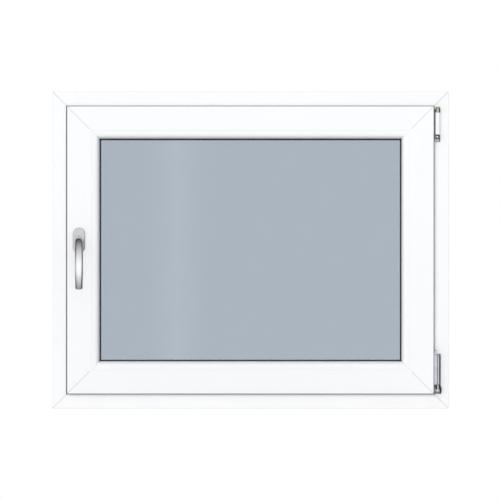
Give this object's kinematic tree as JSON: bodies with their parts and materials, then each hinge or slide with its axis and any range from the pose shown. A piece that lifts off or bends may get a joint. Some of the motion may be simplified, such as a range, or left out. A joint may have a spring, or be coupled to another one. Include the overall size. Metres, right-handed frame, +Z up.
{
  "type": "pvc tilt-and-turn window",
  "caption": "White pvc window: inward-opening sash lapped over a mitred frame, insulating glass held by snap-in beads, lever handle on one side, barrel hinges on the other.",
  "frame": {"origin": "middle of the bottom face of the outer frame, half way along it and half way through its 70 mm depth", "axes": "+X to the right as seen from the room, towards the hinges; +Y outdoors, so the handle side faces -Y; +Z up"},
  "size_m": [1, 0.143, 0.8],
  "materials": {
    "white_pvc": "smooth satin-gloss extruded pvc",
    "zinc_steel": "galvanised",
    "clear_glass": "clear float glass",
    "spacer_aluminium": "mill",
    "edge_sealant": "matte",
    "block_plastic": "moulded",
    "dark_gasket": "matte extruded",
    "handle_aluminium": "silver anodised, satin",
    "hinge_steel": "silver passivated",
    "gold_zinc_steel": "yellow passivated zinc",
    "cover_plastic": "moulded"
  },
  "bodies": {
    "window": {"frame_sill": "white_pvc", "frame_head": "white_pvc", "frame_lock_jamb": "white_pvc", "frame_hinge_jamb": "white_pvc", "sash_bottom_rail": "white_pvc", "sash_top_rail": "white_pvc", "sash_lock_stile": "white_pvc", "sash_hinge_stile": "white_pvc", "bead_bottom": "white_pvc", "bead_top": "white_pvc", "bead_lock_side": "white_pvc", "bead_hinge_side": "white_pvc", "drain_caps": "white_pvc", "frame_stiffeners": "zinc_steel", "sash_stiffeners": "zinc_steel", "glass_outer_pane": "clear_glass", "glass_room_pane": "clear_glass", "glass_spacer": "spacer_aluminium", "glass_edge_seal": "edge_sealant", "setting_blocks": "block_plastic", "handle_base": "block_plastic", "gasket_frame": "dark_gasket", "gasket_sash": "dark_gasket", "gasket_glazing_room": "dark_gasket", "gasket_glazing_outer": "dark_gasket", "handle_rosette": "handle_aluminium", "top_hinge_bearing": "hinge_steel", "top_hinge_pin": "hinge_steel", "bottom_hinge_rest": "hinge_steel", "bottom_hinge_pin": "hinge_steel", "bottom_hinge_band": "hinge_steel", "top_hinge_arm": "gold_zinc_steel", "top_hinge_cover": "cover_plastic"},
    "handle": {"handle_lever": "handle_aluminium", "handle_spindle": "zinc_steel"}
  },
  "joints": [
    {"name": "handle_turn", "type": "hinge", "parent": "window", "child": "handle", "pos_m": [-0.4332, -0.0485, 0.4242], "axis": [0, -1, 0], "range_deg": [0, 180]}
  ]
}
